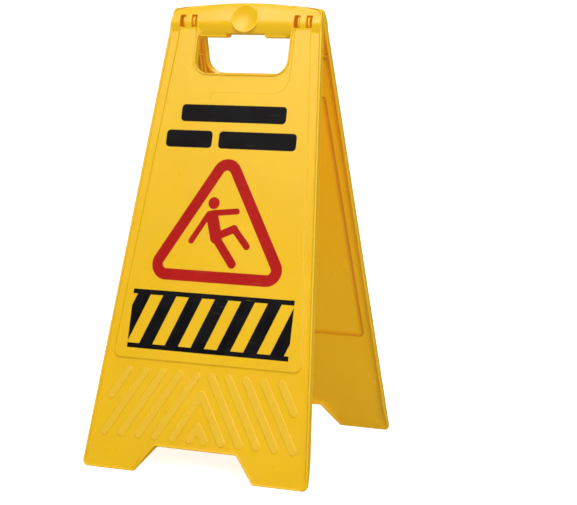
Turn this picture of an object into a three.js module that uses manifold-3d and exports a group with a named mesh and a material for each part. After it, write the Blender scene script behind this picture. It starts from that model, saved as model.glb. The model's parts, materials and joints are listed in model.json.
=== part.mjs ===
// Folding floor sign: two moulded plastic boards hinged at the top, standing open on four feet.
// Millimetres, +Z up. Origin on the floor, midway between the front and rear feet.
// The front board faces -Y and the rear board faces +Y.
//
// Each board is drawn flat in its own board frame: x runs across the board, y runs up it with
// zero on the hinge axis, and z is depth, from the parting plane (zero) out to the printed side.
// Heights in the constants below are measured up the board from the foot edge.

import * as THREE from 'three';
import { mergeVertices } from 'three/addons/utils/BufferGeometryUtils.js';
import Module from 'manifold-3d';

const wasm = await Module();
wasm.setup();

// Overall sizes
const HALF_OPEN_ANGLE = THREE.MathUtils.degToRad(15.75);
const HINGE_HEIGHT = 575.3;
const FOOT_HALF_WIDTH = 150;
const EDGE_SLOPE = 0.0827;
const CLEARANCE = 0.15;

// Board section
const RIM_DEPTH = 10;
const RIM_WIDTH = 2.8;
const SKIN_OUTER = 8;
const SKIN_INNER = 6;
const FLANGE = 2.2;
const FOOT_RADIUS = 8;

// Cut-out between the feet, and the bevel that thins the feet
const NOTCH_BOTTOM_HALF = 79.5;
const NOTCH_TOP_HALF = 54.4;
const NOTCH_HEIGHT = 33.4;
const NOTCH_RADIUS = 5;
const FOOT_BEVEL_HEIGHT = 30;
const FOOT_BEVEL_DEPTH = 6.5;

// Raised sign face, and the pocket behind it
const FACE_DEPTH = 10;
const FACE_BOTTOM = 139;
const FACE_RADIUS = 9;
const FACE_MARGIN = 12.5;
const FACE_MARGIN_GROWTH = 0.0045;
const POCKET_TOP = 480;
const POCKET_DEPTH = 8;

// Hand opening, its lip and the shallow recess around it
const OPENING_HALF = 62.8;
const OPENING_BOTTOM = 506;
const OPENING_RADIUS = 19;
const LIP_WIDTH = 2.2;
const LIP_DEPTH = 11;
const LIP_TOP = 563;
const RECESS_HALF = 68.5;
const RECESS_BOTTOM = 481.5;
const RECESS_RADIUS = 22;
const RECESS_FLOOR = 9;

// Half handle: upright about the hinge axis when the sign stands open. Below the axis it is half
// an oval. Above, it tapers to the top, so a crease runs along it at the height of the axis.
const HANDLE_RISE = 24.3;
const HANDLE_REACH = 13;
const HANDLE_TAPER = 0.6;
const HANDLE_WALL = 2.4;
const HANDLE_ARCH_RADIUS = 574.3;
const HANDLE_BOTTOM = 555;
const HANDLE_CORNER_HEIGHT = 592;
const HANDLE_CORNER_RADIUS = 11;
const RELIEF_HALF = 27.5;
const RELIEF_HEIGHT = 4;
const BADGE_HEIGHT = 577;
const BADGE_RADIUS = 18;
const BADGE_DEPTH = 12.6;
const BADGE_BACK = 7.6;
const DISH_RADIUS = 16.8;
const DISH_DEPTH = 2.6;

// Hinge: a hook on the front board clips over a pin held by two cheeks on the rear board
const HOOK_CENTRE = 78;
const HOOK_WIDTH = 7.4;
const HOOK_RADIUS = 6.3;
const HOOK_MOUTH = 4.8;
const CHEEK_OFFSET = 6.75;
const CHEEK_WIDTH = 2.4;
const CHEEK_RADIUS = 9.3;
const CHEEK_WEB = 6;
const PIN_RADIUS = 3;
const PIN_BORE = 3.3;
const PIN_LENGTH = 15.6;
const PIN_CHAMFER = 0.6;
const WINDOW_OFFSET = 8;
const WINDOW_WIDTH = 8;
const WINDOW_BOTTOM = 566;
const WINDOW_HEIGHT = 16;

// Stiffening ribs behind the columns beside the opening
const RIB_WIDTH = 1.6;
const RIB_TIP = 1;
const RIB_LINES = [67.4, 72.45];
const RIB_BOTTOM = 502;
const RIB_TOP = 560;
const CROSS_RIB_HEIGHT = 532;

// Chevron of raised bars above the feet
const BAR_RADIUS = 5;
const BAR_RISE = 0.9;
const BAR_TOP = 124;
const BAR_BOTTOM = 46;
const BAR_PITCH = 23.2;
const BAR_SLOPE = 0.587;
const BAR_ZERO_TOP = 10;
const FIRST_BAR = -2;
const LAST_BAR = 4;
const LAST_BAR_BOTTOM = 91.5;

// Printed marks, drawn as thin solids just clear of the sign face
const PRINT_GAP = 0.3;
const PRINT_THICKNESS = 0.3;
const WORD_BAR_HEIGHT = 22;
const WORD_BAR_RADIUS = 5;
const TRIANGLE_CORNER_HALF = 67.2;
const TRIANGLE_BASE = 260;
const TRIANGLE_OUTER_RADIUS = 20;
const TRIANGLE_INNER_RADIUS = 5.5;
const BAND_HALF_WIDTH = 108;
const BAND_BOTTOM = 152;
const BAND_TOP = 226;
const BAND_RAIL = 6;
const BAND_CORNER = 2;
const STRIPE_COUNT = 7;
const STRIPE_WIDTH = 18;
const STRIPE_LEAN = 30;

// Finish
const YELLOW = { color: 0xf2be1e, roughness: 0.42, metalness: 0 };
const PIN_GREY = { color: 0xb9bcc0, roughness: 0.35, metalness: 0 };
const RED_INK = { color: 0xc31f26, roughness: 0.5, metalness: 0 };
const BLACK_INK = { color: 0x17171b, roughness: 0.5, metalness: 0 };

const CURVE_SEGMENTS = 4;
const OVAL_SEGMENTS = 8;
const TAPER_STEPS = 8;
const ARCH_STEPS = 20;
const DISH_STEPS = 5;
const FAR = 20;

// ---------------------------------------------------------------- solids

// A boolean solid from any closed three.js geometry.
function solid(geometry) {
  const bare = geometry.clone();
  bare.deleteAttribute('normal');
  bare.deleteAttribute('uv');
  const merged = mergeVertices(bare, 1e-4);
  const corners = merged.index.array;
  const kept = [];
  for (let i = 0; i < corners.length; i += 3) {
    const [a, b, c] = corners.slice(i, i + 3);
    if (a !== b && b !== c && c !== a) kept.push(a, b, c);
  }
  const mesh = new wasm.Mesh({
    numProp: 3,
    vertProperties: merged.attributes.position.array,
    triVerts: new Uint32Array(kept),
  });
  return new wasm.Manifold(mesh);
}

function union(solids) {
  return solids.reduce((whole, piece) => whole.add(piece));
}

function geometryOf(manifold) {
  const { vertProperties, triVerts } = manifold.getMesh();
  const geometry = new THREE.BufferGeometry();
  geometry.setAttribute('position', new THREE.BufferAttribute(vertProperties, 3));
  geometry.setIndex(new THREE.BufferAttribute(triVerts, 1));
  geometry.computeVertexNormals();
  return geometry;
}

// ---------------------------------------------------------------- outlines

function points(...pairs) {
  return pairs.map(([x, y]) => new THREE.Vector2(x, y));
}

// The corners of an anticlockwise outline after every side moves inwards by the same distance.
function insetCorners(corners, distance) {
  return corners.map((corner, i) => {
    const before = corners.at(i - 1);
    const after = corners[(i + 1) % corners.length];
    const arriving = corner.clone().sub(before).normalize();
    const leaving = after.clone().sub(corner).normalize();
    const turn = arriving.cross(leaving);
    const shift = leaving.clone().sub(arriving).multiplyScalar(distance / turn);
    return corner.clone().add(shift);
  });
}

// A shape with a round at each corner. Insetting tightens outer rounds and opens inner ones.
function roundedShape(corners, radii, inset = 0) {
  const moved = insetCorners(corners, inset);
  const shape = new THREE.Shape();
  moved.forEach((corner, i) => {
    const toBefore = moved.at(i - 1).clone().sub(corner).normalize();
    const toAfter = moved[(i + 1) % moved.length].clone().sub(corner).normalize();
    const outerCorner = toAfter.cross(toBefore) > 0;
    const radius = Math.max(radii[i] + (outerCorner ? -inset : inset), 0.2);
    const halfAngle = Math.acos(toBefore.dot(toAfter)) / 2;
    const middle = toBefore.clone().add(toAfter).normalize();
    const centre = corner.clone().addScaledVector(middle, radius / Math.sin(halfAngle));
    const reach = radius / Math.tan(halfAngle);
    const start = corner.clone().addScaledVector(toBefore, reach).sub(centre).angle();
    const end = corner.clone().addScaledVector(toAfter, reach).sub(centre).angle();
    shape.absarc(centre.x, centre.y, radius, start, end, !outerCorner);
  });
  return shape;
}

// A slab of a shape whose heights are measured from the foot edge, between two depths.
function slab(shape, from, to) {
  const depth = to - from;
  const options = { depth, bevelEnabled: false, curveSegments: CURVE_SEGMENTS };
  return new THREE.ExtrudeGeometry(shape, options).translate(0, -HINGE_HEIGHT, from);
}

// A plain block given by its limits across, up and out from the parting plane.
function block([left, right], [bottom, top], [inner, outer]) {
  const geometry = new THREE.BoxGeometry(right - left, top - bottom, outer - inner);
  const middle = [(left + right) / 2, (bottom + top) / 2 - HINGE_HEIGHT, (inner + outer) / 2];
  return solid(geometry.translate(...middle));
}

// A round bar across the board, centred on the hinge axis.
function crossBar(radius, centre, width) {
  const bar = new THREE.CylinderGeometry(radius, radius, width, 28);
  return solid(bar.rotateZ(Math.PI / 2).translate(centre, 0, 0));
}

function halfWidthAt(height) {
  return FOOT_HALF_WIDTH - EDGE_SLOPE * height;
}

function faceHalfWidthAt(height) {
  return halfWidthAt(height) - FACE_MARGIN - FACE_MARGIN_GROWTH * (height - FACE_BOTTOM);
}

function boardOutline(inset = 0) {
  const top = HINGE_HEIGHT + inset;
  const corners = points(
    [NOTCH_BOTTOM_HALF, 0],
    [FOOT_HALF_WIDTH, 0],
    [halfWidthAt(top), top],
    [-halfWidthAt(top), top],
    [-FOOT_HALF_WIDTH, 0],
    [-NOTCH_BOTTOM_HALF, 0],
    [-NOTCH_TOP_HALF, NOTCH_HEIGHT],
    [NOTCH_TOP_HALF, NOTCH_HEIGHT],
  );
  const foot = [NOTCH_RADIUS, FOOT_RADIUS];
  const radii = [...foot, 0.2, 0.2, ...foot.toReversed(), NOTCH_RADIUS, NOTCH_RADIUS];
  return roundedShape(corners, radii, inset);
}

// The board's outline carried up past the hinge, with the round ends of the handle.
function handleOutline(inset = 0) {
  const crown = HANDLE_CORNER_HEIGHT + FAR;
  const shoulder = halfWidthAt(HANDLE_CORNER_HEIGHT);
  const corners = points(
    [FOOT_HALF_WIDTH, 0],
    [shoulder, HANDLE_CORNER_HEIGHT],
    [0, crown],
    [-shoulder, HANDLE_CORNER_HEIGHT],
    [-FOOT_HALF_WIDTH, 0],
  );
  const round = HANDLE_CORNER_RADIUS;
  return roundedShape(corners, [0.2, round, 0.2, round, 0.2], inset);
}

function faceOutline(top, inset = 0) {
  const corners = points(
    [faceHalfWidthAt(FACE_BOTTOM), FACE_BOTTOM],
    [faceHalfWidthAt(top), top],
    [-faceHalfWidthAt(top), top],
    [-faceHalfWidthAt(FACE_BOTTOM), FACE_BOTTOM],
  );
  return roundedShape(corners, [FACE_RADIUS, 6, 6, FACE_RADIUS], inset);
}

// A U-shaped outline open towards the handle, closed off at the given top.
function openingOutline(half, bottom, radius, top) {
  const corners = points([half, bottom], [half, top], [-half, top], [-half, bottom]);
  return roundedShape(corners, [radius, 0.2, 0.2, radius]);
}

// ---------------------------------------------------------------- half handle

// The oval grip. Above the hinge axis it gets flatter towards the ends, so its top is an arch.
function handleOval(shrink) {
  const rise = HANDLE_RISE - shrink;
  const reach = HANDLE_REACH - shrink;
  const section = new THREE.Shape();
  section.absellipse(0, 0, reach, rise, Math.PI, 2 * Math.PI);
  for (let step = TAPER_STEPS - 1; step > -TAPER_STEPS; step -= 1) {
    const share = Math.abs(step) / TAPER_STEPS;
    const out = Math.sign(step) * reach * share ** (2 * HANDLE_TAPER);
    section.lineTo(out, rise * (1 - share ** 2));
  }

  const length = 2 * FOOT_HALF_WIDTH;
  const tube = new THREE.ExtrudeGeometry(section, {
    depth: length,
    steps: ARCH_STEPS,
    bevelEnabled: false,
    curveSegments: OVAL_SEGMENTS,
  });
  tube.translate(0, 0, -length / 2).rotateY(-Math.PI / 2);

  const { position } = tube.attributes;
  for (let i = 0; i < position.count; i += 1) {
    const height = position.getY(i);
    const drop = HANDLE_ARCH_RADIUS - Math.sqrt(HANDLE_ARCH_RADIUS ** 2 - position.getX(i) ** 2);
    if (height > 0) position.setY(i, height * (1 - drop / rise));
  }
  return solid(tube.rotateX(HALF_OPEN_ANGLE));
}

// The underside of the handle: flat, with a shallow relief for the fingers in the middle.
function belowHandle(lift) {
  const bottom = HANDLE_BOTTOM + lift;
  const relief = points(
    [RELIEF_HALF + lift, bottom - FAR],
    [RELIEF_HALF + lift, bottom],
    [RELIEF_HALF + lift - 2, bottom + RELIEF_HEIGHT],
    [2 - RELIEF_HALF - lift, bottom + RELIEF_HEIGHT],
    [-RELIEF_HALF - lift, bottom],
    [-RELIEF_HALF - lift, bottom - FAR],
  );
  const under = block([-200, 200], [0, bottom], [-FAR, 2 * FAR]);
  return under.add(solid(slab(new THREE.Shape(relief), -FAR, 2 * FAR)));
}

// A disc on the badge's axis, from one depth to another.
function badgeDisc(from, to) {
  const disc = new THREE.CylinderGeometry(BADGE_RADIUS, BADGE_RADIUS, to - from, 40);
  disc.rotateX(Math.PI / 2).translate(0, BADGE_HEIGHT - HINGE_HEIGHT, (from + to) / 2);
  return solid(disc);
}

// The shallow round dish in the badge, with the space in front of it.
function badgeDish() {
  const profile = points([0, -DISH_DEPTH]);
  for (let step = 1; step <= DISH_STEPS; step += 1) {
    const share = step / DISH_STEPS;
    profile.push(new THREE.Vector2(share * DISH_RADIUS, (share ** 2 - 1) * DISH_DEPTH));
  }
  profile.push(...points([DISH_RADIUS, DISH_DEPTH], [0, DISH_DEPTH]));
  const dish = new THREE.LatheGeometry(profile, 40).rotateX(Math.PI / 2);
  return solid(dish.translate(0, BADGE_HEIGHT - HINGE_HEIGHT, BADGE_DEPTH));
}

function handleShell() {
  const oval = handleOval(0).intersect(solid(slab(handleOutline(), -FAR, 2 * FAR)));
  const cleared = oval.subtract(badgeDisc(BADGE_DEPTH, 2 * BADGE_DEPTH));
  return cleared.add(badgeDisc(0, BADGE_DEPTH)).subtract(belowHandle(0));
}

// Hollow of the handle. Beside the opening it runs down into the hollow of the columns.
function handleHollow() {
  const inner = handleOval(HANDLE_WALL);
  const ends = solid(slab(handleOutline(FLANGE), -FAR, 2 * FAR));
  const overOpening = block([-OPENING_HALF, OPENING_HALF], [0, 700], [-FAR, 2 * FAR]);
  const underside = belowHandle(HANDLE_WALL).intersect(overOpening);
  return inner.intersect(ends).subtract(underside);
}

// ---------------------------------------------------------------- board

// Parallel bars leaning in to the middle. The inner pairs meet there, the outer pair is short.
function chevronBars() {
  const bars = [];
  for (let row = FIRST_BAR; row <= LAST_BAR; row += 1) {
    const line = BAR_ZERO_TOP + row * BAR_PITCH;
    const inner = Math.max(line, 0);
    const bottom = row === LAST_BAR ? LAST_BAR_BOTTOM : BAR_BOTTOM;
    const outer = line + BAR_SLOPE * (BAR_TOP - bottom);
    const heightAt = (across) => BAR_TOP - (across - line) / BAR_SLOPE;
    for (const side of [-1, 1]) {
      const bar = capsule([side * inner, heightAt(inner)], [side * outer, heightAt(outer)],
        BAR_RADIUS);
      bars.push(solid(slab(bar, SKIN_INNER + 1, SKIN_OUTER + BAR_RISE)));
    }
  }
  return union(bars);
}

// A straight bar with round ends between two points.
function capsule(from, to, radius) {
  const [start, end] = points(from, to);
  const heading = end.clone().sub(start).angle();
  const shape = new THREE.Shape();
  shape.absarc(end.x, end.y, radius, heading - Math.PI / 2, heading + Math.PI / 2);
  shape.absarc(start.x, start.y, radius, heading + Math.PI / 2, heading + 1.5 * Math.PI);
  return shape;
}

function ribs() {
  const depth = [RIB_TIP, SKIN_INNER + 1];
  const pieces = [];
  for (const side of [-1, 1]) {
    for (const line of RIB_LINES) {
      const edges = [side * line - RIB_WIDTH / 2, side * line + RIB_WIDTH / 2];
      pieces.push(block(edges, [RIB_BOTTOM, RIB_TOP], depth));
    }
    const inner = OPENING_HALF + 1;
    const outer = halfWidthAt(CROSS_RIB_HEIGHT) - 1;
    const span = [side * inner, side * outer].sort((a, b) => a - b);
    const rise = [CROSS_RIB_HEIGHT - RIB_WIDTH / 2, CROSS_RIB_HEIGHT + RIB_WIDTH / 2];
    pieces.push(block(span, rise, depth));
  }
  return union(pieces);
}

function openingLip() {
  const outerHalf = OPENING_HALF + LIP_WIDTH;
  const outerBottom = OPENING_BOTTOM - LIP_WIDTH;
  const outer = openingOutline(outerHalf, outerBottom, OPENING_RADIUS + LIP_WIDTH, LIP_TOP);
  const inner = openingOutline(OPENING_HALF, OPENING_BOTTOM, OPENING_RADIUS, LIP_TOP + FAR);
  const ring = solid(slab(outer, CLEARANCE, LIP_DEPTH));
  return ring.subtract(solid(slab(inner, -FAR, 2 * FAR)));
}

// Everything the mating board would foul: beyond the parting plane below the hinge, and
// beyond the upright stop plane above it, where the two boards meet when the sign is open.
function matingCut() {
  const behind = block([-200, 200], [-FAR, HINGE_HEIGHT], [-2 * FAR, CLEARANCE]);
  const stop = new THREE.BoxGeometry(400, 4 * FAR, 2 * FAR);
  stop.translate(0, FAR, CLEARANCE - FAR).rotateX(HALF_OPEN_ANGLE);
  return behind.add(solid(stop));
}

// The feet are bevelled on the inside, then cut level with the floor.
function footCut() {
  const steepness = Math.atan2(FOOT_BEVEL_DEPTH, FOOT_BEVEL_HEIGHT);
  const bevel = new THREE.BoxGeometry(400, 4 * FAR, 2 * FAR);
  bevel.translate(0, 0, -FAR).rotateX(-steepness);
  bevel.translate(0, -HINGE_HEIGHT, FOOT_BEVEL_DEPTH);
  const floor = new THREE.BoxGeometry(400, FAR, 4 * FAR);
  floor.translate(0, -FAR / 2, 0).rotateX(HALF_OPEN_ANGLE);
  floor.translate(0, -HINGE_HEIGHT, RIM_DEPTH);
  return solid(bevel).add(solid(floor));
}

function skinAndFace() {
  const skin = solid(slab(boardOutline(), 0, SKIN_OUTER));
  const rim = solid(slab(boardOutline(), 0, RIM_DEPTH));
  const insideRim = solid(slab(boardOutline(RIM_WIDTH), -FAR, FAR));
  const face = solid(slab(faceOutline(HINGE_HEIGHT), 0, FACE_DEPTH));
  const recess = openingOutline(RECESS_HALF, RECESS_BOTTOM, RECESS_RADIUS, HINGE_HEIGHT + FAR);
  const raised = face.subtract(solid(slab(recess, RECESS_FLOOR, FAR)));
  const lipHalf = OPENING_HALF + LIP_WIDTH - 1;
  const opening = openingOutline(lipHalf, OPENING_BOTTOM - LIP_WIDTH + 1, OPENING_RADIUS + 1,
    HINGE_HEIGHT + FAR);
  return union([skin, rim.subtract(insideRim), raised])
    .subtract(solid(slab(opening, -FAR, 2 * FAR)));
}

function boardHollow() {
  const around = openingOutline(OPENING_HALF + LIP_WIDTH, OPENING_BOTTOM - LIP_WIDTH,
    OPENING_RADIUS + LIP_WIDTH, HINGE_HEIGHT + FAR);
  const behindSkin = solid(slab(boardOutline(FLANGE), -FAR, SKIN_INNER))
    .subtract(solid(slab(around, -2 * FAR, FAR)));
  const behindFace = solid(slab(faceOutline(POCKET_TOP, FLANGE), -FAR, POCKET_DEPTH));
  return behindSkin.add(behindFace);
}

function board() {
  const outside = union([skinAndFace(), handleShell(), chevronBars()]);
  const hollowed = outside.subtract(boardHollow()).subtract(handleHollow());
  return hollowed
    .add(badgeDisc(BADGE_BACK, BADGE_DEPTH).subtract(belowHandle(0)))
    .subtract(badgeDish())
    .add(openingLip())
    .add(ribs())
    .subtract(matingCut())
    .subtract(footCut());
}

// ---------------------------------------------------------------- hinge

// A lug that reaches from the handle wall to the hinge axis and ends in an eye round it.
function lug(centre, width, radius, webHalf) {
  const edges = [centre - width / 2, centre + width / 2];
  const heights = [HINGE_HEIGHT - webHalf, HINGE_HEIGHT + webHalf];
  const web = block(edges, heights, [0, HANDLE_REACH]).intersect(handleOval(1));
  return web.add(crossBar(radius, centre, width)).subtract(crossBar(PIN_BORE, centre, 2 * width));
}

function hook(centre) {
  const edges = [centre - HOOK_WIDTH, centre + HOOK_WIDTH];
  const heights = [HINGE_HEIGHT - HOOK_MOUTH / 2, HINGE_HEIGHT + HOOK_MOUTH / 2];
  const mouth = block(edges, heights, [-FAR, 0]);
  return lug(centre, HOOK_WIDTH, HOOK_RADIUS, HOOK_RADIUS).subtract(mouth);
}

function hookWindows(centre) {
  const windows = [-WINDOW_OFFSET, WINDOW_OFFSET].map((offset) => {
    const edges = [centre + offset - WINDOW_WIDTH / 2, centre + offset + WINDOW_WIDTH / 2];
    return block(edges, [WINDOW_BOTTOM, WINDOW_BOTTOM + WINDOW_HEIGHT], [SKIN_INNER, FAR]);
  });
  return union(windows);
}

function frontBoard() {
  const centres = [-HOOK_CENTRE, HOOK_CENTRE];
  const pierced = board().subtract(union(centres.map(hookWindows)));
  return pierced.add(union(centres.map(hook)));
}

function rearBoard() {
  const offsets = [-CHEEK_OFFSET, CHEEK_OFFSET];
  const centres = [-HOOK_CENTRE, HOOK_CENTRE].flatMap((hinge) => offsets.map((o) => hinge + o));
  const cheek = (centre) => lug(centre, CHEEK_WIDTH, CHEEK_RADIUS, CHEEK_WEB);
  return board().add(union(centres.map(cheek)));
}

function hingePin() {
  const half = PIN_LENGTH / 2;
  const tip = PIN_RADIUS - PIN_CHAMFER;
  const profile = points([0, -half], [tip, -half], [PIN_RADIUS, PIN_CHAMFER - half],
    [PIN_RADIUS, half - PIN_CHAMFER], [tip, half], [0, half]);
  return new THREE.LatheGeometry(profile, 28).rotateZ(Math.PI / 2);
}

// ---------------------------------------------------------------- printed marks

function printed(shape) {
  const start = FACE_DEPTH + PRINT_GAP;
  return slab(shape, start, start + PRINT_THICKNESS);
}

function wordBar(left, right, middle) {
  const half = WORD_BAR_HEIGHT / 2;
  const corners = points([left, middle - half], [right, middle - half], [right, middle + half],
    [left, middle + half]);
  return printed(roundedShape(corners, Array(4).fill(WORD_BAR_RADIUS)));
}

// Equilateral warning triangle with round corners, cut out in the middle.
function warningTriangle() {
  const apex = TRIANGLE_BASE + TRIANGLE_CORNER_HALF * Math.sqrt(3);
  const centres = points([TRIANGLE_CORNER_HALF, TRIANGLE_BASE], [0, apex],
    [-TRIANGLE_CORNER_HALF, TRIANGLE_BASE]);
  const edge = (path, radius) => centres.forEach((centre, corner) => {
    const start = -Math.PI / 2 + (corner * 2 * Math.PI) / 3;
    path.absarc(centre.x, centre.y, radius, start, start + (2 * Math.PI) / 3);
  });
  const shape = new THREE.Shape();
  edge(shape, TRIANGLE_OUTER_RADIUS);
  const middle = new THREE.Path();
  edge(middle, TRIANGLE_INNER_RADIUS);
  shape.holes.push(middle);
  return printed(shape);
}

const FIGURE_HEAD = { centre: [-13, 340], radius: 7.6 };
const FIGURE_LIMBS = [
  { from: [-13, 323], to: [-5, 297], radius: 8 },
  { from: [-18, 326], to: [-38, 291], radius: 3.8 },
  { from: [-12, 327.5], to: [19, 331], radius: 3.8 },
  { from: [-4, 295], to: [20, 265], radius: 5.6 },
  { from: [-3, 299], to: [18, 309], radius: 5 },
  { from: [18, 309], to: [37, 288], radius: 4.4 },
];

function figureHead() {
  const { centre, radius } = FIGURE_HEAD;
  return printed(capsule(centre, centre, radius));
}

function figureBody() {
  const limbs = FIGURE_LIMBS.map(({ from, to, radius }) => printed(capsule(from, to, radius)));
  return geometryOf(union(limbs.map(solid)));
}

// Leaning stripes cut off square at the ends and tied by a rail along the top and the bottom.
function hazardBand() {
  const strip = (bottom, top) => {
    const corners = points([-BAND_HALF_WIDTH, bottom], [BAND_HALF_WIDTH, bottom],
      [BAND_HALF_WIDTH, top], [-BAND_HALF_WIDTH, top]);
    return solid(printed(roundedShape(corners, Array(4).fill(BAND_CORNER))));
  };
  const rails = strip(BAND_BOTTOM, BAND_BOTTOM + BAND_RAIL)
    .add(strip(BAND_TOP - BAND_RAIL, BAND_TOP));
  const pitch = (2 * BAND_HALF_WIDTH + STRIPE_LEAN) / STRIPE_COUNT;
  const stripes = [...Array(STRIPE_COUNT).keys()].map((index) => {
    const left = -BAND_HALF_WIDTH - STRIPE_LEAN + (pitch - STRIPE_WIDTH) / 2 + pitch * index;
    const corners = points([left, BAND_BOTTOM], [left + STRIPE_WIDTH, BAND_BOTTOM],
      [left + STRIPE_WIDTH + STRIPE_LEAN, BAND_TOP], [left + STRIPE_LEAN, BAND_TOP]);
    return solid(printed(new THREE.Shape(corners)));
  });
  return geometryOf(union(stripes).intersect(strip(BAND_BOTTOM, BAND_TOP)).add(rails));
}

function printedMarks() {
  return [
    ['word_bar_top', wordBar(-72, 70, 454), BLACK_INK],
    ['word_bar_left', wordBar(-89, -26, 420.5), BLACK_INK],
    ['word_bar_right', wordBar(-17, 87, 420.5), BLACK_INK],
    ['warning_triangle', warningTriangle(), RED_INK],
    ['figure_head', figureHead(), RED_INK],
    ['figure_body', figureBody(), RED_INK],
    ['hazard_band', hazardBand(), BLACK_INK],
  ];
}

// ---------------------------------------------------------------- assembly

function named(name, geometry, finish) {
  const mesh = new THREE.Mesh(geometry, new THREE.MeshStandardMaterial(finish));
  mesh.name = name;
  return mesh;
}

// A leg of the sign: the board and its print, hung from the hinge axis and leaning outwards.
function leg(side, boardSolid) {
  const hanging = new THREE.Group();
  hanging.rotation.x = Math.PI / 2 - HALF_OPEN_ANGLE;
  hanging.add(named(`${side}_board`, geometryOf(boardSolid), YELLOW));
  for (const [mark, geometry, finish] of printedMarks()) {
    hanging.add(named(`${side}_${mark}`, geometry, finish));
  }
  return hanging;
}

const front = leg('front', frontBoard());
const rear = new THREE.Group().add(leg('rear', rearBoard()));
rear.rotation.z = Math.PI;

const pins = new THREE.Group();
for (const [name, x] of [['left', -HOOK_CENTRE], ['right', HOOK_CENTRE]]) {
  const pin = named(`hinge_pin_${name}`, hingePin(), PIN_GREY);
  pin.position.x = x;
  pins.add(pin);
}

const sign = new THREE.Group().add(front, rear, pins);
const lean = HALF_OPEN_ANGLE;
sign.position.z = HINGE_HEIGHT * Math.cos(lean) - RIM_DEPTH * Math.sin(lean);
sign.updateMatrixWorld(true);

export default sign;
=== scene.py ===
import json
import math

import bmesh
import bpy
import numpy as np
from mathutils import Matrix, Vector, geometry


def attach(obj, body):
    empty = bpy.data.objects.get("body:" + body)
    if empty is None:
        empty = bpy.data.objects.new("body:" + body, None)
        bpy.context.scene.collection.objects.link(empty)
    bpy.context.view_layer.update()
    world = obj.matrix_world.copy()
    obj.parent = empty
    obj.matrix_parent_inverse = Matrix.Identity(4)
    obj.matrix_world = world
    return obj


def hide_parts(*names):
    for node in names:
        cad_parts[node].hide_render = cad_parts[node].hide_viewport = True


# Looks of a folding floor sign: two moulded boards, their hinge parts and their printed marks.
#
# Every board piece is drawn in the board's own frame, in millimetres: u runs across the board,
# v up it from the foot edge, and w is depth, from the parting plane out to the printed side.
# The boards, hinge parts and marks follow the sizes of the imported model.

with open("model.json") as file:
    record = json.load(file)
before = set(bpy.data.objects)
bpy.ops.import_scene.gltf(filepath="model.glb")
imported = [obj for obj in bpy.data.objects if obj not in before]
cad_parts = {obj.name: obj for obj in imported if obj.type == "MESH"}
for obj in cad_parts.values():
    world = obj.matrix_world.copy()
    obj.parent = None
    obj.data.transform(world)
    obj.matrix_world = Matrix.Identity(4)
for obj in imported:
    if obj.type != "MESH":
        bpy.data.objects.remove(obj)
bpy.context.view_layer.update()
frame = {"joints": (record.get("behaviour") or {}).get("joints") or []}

FOLD = frame["joints"][0]
LEAN = math.radians(FOLD["range_deg"][1]) / 2
COS, SIN, TAN = math.cos(LEAN), math.sin(LEAN), math.tan(LEAN)
HINGE_Z = FOLD["pos_m"][2]
MM = 0.001

# Board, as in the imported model
HINGE_HEIGHT = 575.3
FOOT_HALF_WIDTH = 150.0
EDGE_SLOPE = 0.0827
CLEARANCE = 0.15
RIM_DEPTH = 10.0
SKIN_OUTER = 8.0
SKIN_INNER = 6.0
FLANGE = 2.2
FOOT_RADIUS = 8.0
NOTCH_BOTTOM_HALF = 79.5
NOTCH_TOP_HALF = 54.4
NOTCH_HEIGHT = 33.4
NOTCH_RADIUS = 5.0
FOOT_BEVEL_HEIGHT = 30.0
FOOT_BEVEL_DEPTH = 6.5
FACE_DEPTH = 10.0
FACE_BOTTOM = 139.0
FACE_RADIUS = 9.0
FACE_TOP_RADIUS = 6.0
FACE_MARGIN = 12.5
FACE_MARGIN_GROWTH = 0.0045
POCKET_TOP = 480.0
POCKET_DEPTH = 8.0
OPENING_HALF = 62.8
OPENING_BOTTOM = 506.0
OPENING_RADIUS = 19.0
LIP_DEPTH = 11.0
RECESS_HALF = 68.5
RECESS_BOTTOM = 481.5
RECESS_RADIUS = 22.0
RECESS_FLOOR = 9.0
HANDLE_RISE = 24.3
HANDLE_REACH = 13.0
HANDLE_TAPER = 0.6
HANDLE_WALL = 2.4
HANDLE_ARCH_RADIUS = 574.3
HANDLE_BOTTOM = 555.0
HANDLE_CORNER_HEIGHT = 592.0
HANDLE_CORNER_RADIUS = 11.0
CROWN_HEIGHT = 612.0
RELIEF_HALF = 27.5
RELIEF_HEIGHT = 4.0
RELIEF_SLOPE = 2.0
BADGE_HEIGHT = 577.0
BADGE_RADIUS = 18.0
BADGE_DEPTH = 12.6
BADGE_BACK = 7.6
DISH_RADIUS = 16.8
DISH_DEPTH = 2.6
HOOK_CENTRE = 78.0
WINDOW_OFFSET = 8.0
WINDOW_WIDTH = 8.0
WINDOW_BOTTOM = 566.0
WINDOW_HEIGHT = 16.0
RIB_WIDTH = 1.6
RIB_TIP = 1.0
RIB_LINES = (67.4, 72.45)
RIB_BOTTOM = 502.0
RIB_TOP = 560.0
CROSS_RIB_HEIGHT = 532.0
BAR_RADIUS = 5.0
BAR_RISE = 0.9
BAR_TOP = 124.0
BAR_BOTTOM = 46.0
BAR_PITCH = 23.2
BAR_SLOPE = 0.587
BAR_ZERO_TOP = 10.0
BAR_ROWS = range(-2, 5)
LAST_BAR_BOTTOM = 91.5

# Printed side: half widths of its soft steps, rounds of its edges, and blends between surfaces
RIM_STEP = (2.0, 3.6)
FACE_STEP = 1.5
RECESS_STEP = 0.8
BAR_STEP = 0.7
BADGE_STEP = 0.35
EDGE_ROUND = 1.2
GRIP_ROUND = 0.9
WINDOW_ROUND = 0.35
CREASE_BLEND = 1.6
LIP_BLEND = 0.5
HANDLE_BLEND = 1.2
BEAD_CENTRE = 1.1
BEAD_HALF = 1.35
BEAD_BASE = 8.6
GRIP_DROP = 4.0
GRIP_SIDE = 4.0
GRIP_STEP = 3.0

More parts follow.
